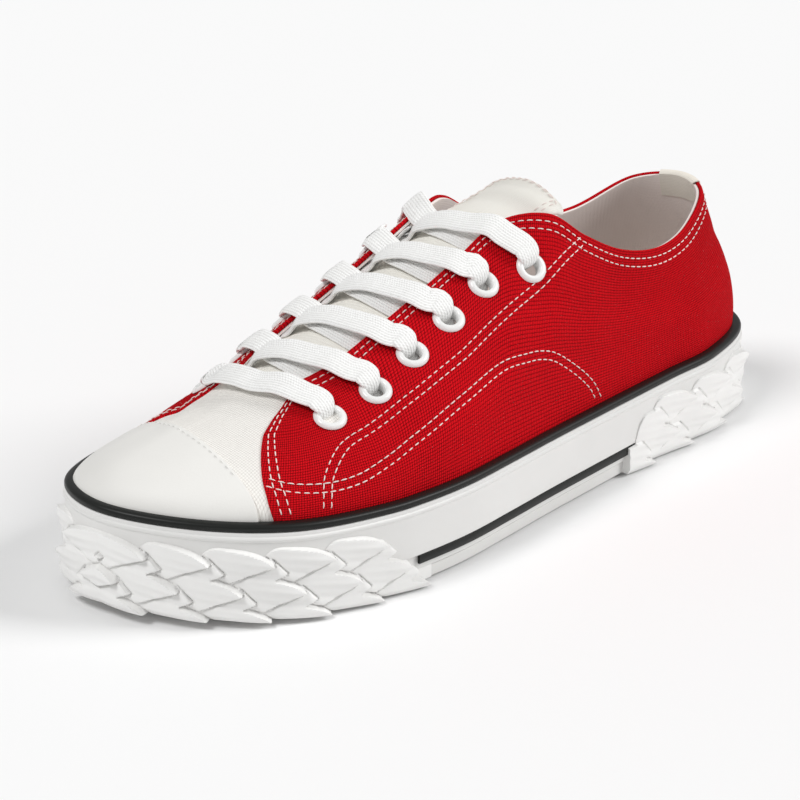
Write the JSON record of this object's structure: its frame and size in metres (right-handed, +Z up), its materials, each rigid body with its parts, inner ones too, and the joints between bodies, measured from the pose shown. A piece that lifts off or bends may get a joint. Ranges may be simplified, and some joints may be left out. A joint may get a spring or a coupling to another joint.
{
  "type": "canvas sneaker",
  "caption": "Low-cut lace-up canvas sneaker, left foot, on a thick rubber platform with scale-textured toe and heel bumpers.",
  "frame": {"origin": "middle of the shoe's footprint box, on the floor", "axes": "+X from heel to toe, +Y to the outer (lateral) side of the left foot, +Z up"},
  "size_m": [0.2776, 0.1011, 0.0965],
  "materials": {
    "red_canvas": "coarse plain weave, matt",
    "tongue_canvas": "off-white canvas, matt",
    "insole_cloth": "grey-beige cloth, matt",
    "toe_cap": "smooth coated toe, satin",
    "white_rubber": "smooth, satin",
    "bumper_rubber": "moulded scales, satin",
    "outsole_rubber": "matt",
    "black_rubber": "satin",
    "eyelet": "white enamel, glossy",
    "lace": "flat woven cotton, matt"
  },
  "bodies": {
    "root": {"outsole": "outsole_rubber", "midsole": "white_rubber", "foxing_stripe": "black_rubber", "insole": "insole_cloth", "pinstripe_lateral": "black_rubber", "pinstripe_medial": "black_rubber", "toe_bumper": "bumper_rubber", "heel_bumper": "bumper_rubber", "upper": "red_canvas", "toe_cap": "toe_cap", "tongue": "tongue_canvas", "eyelet_lateral_1": "eyelet", "eyelet_lateral_2": "eyelet", "eyelet_lateral_3": "eyelet", "eyelet_lateral_4": "eyelet", "eyelet_lateral_5": "eyelet", "eyelet_lateral_6": "eyelet", "eyelet_medial_1": "eyelet", "eyelet_medial_2": "eyelet", "eyelet_medial_3": "eyelet", "eyelet_medial_4": "eyelet", "eyelet_medial_5": "eyelet", "eyelet_medial_6": "eyelet", "lace_1": "lace", "lace_2": "lace", "lace_3": "lace", "lace_4": "lace", "lace_5": "lace", "lace_6": "lace"}
  },
  "joints": []
}
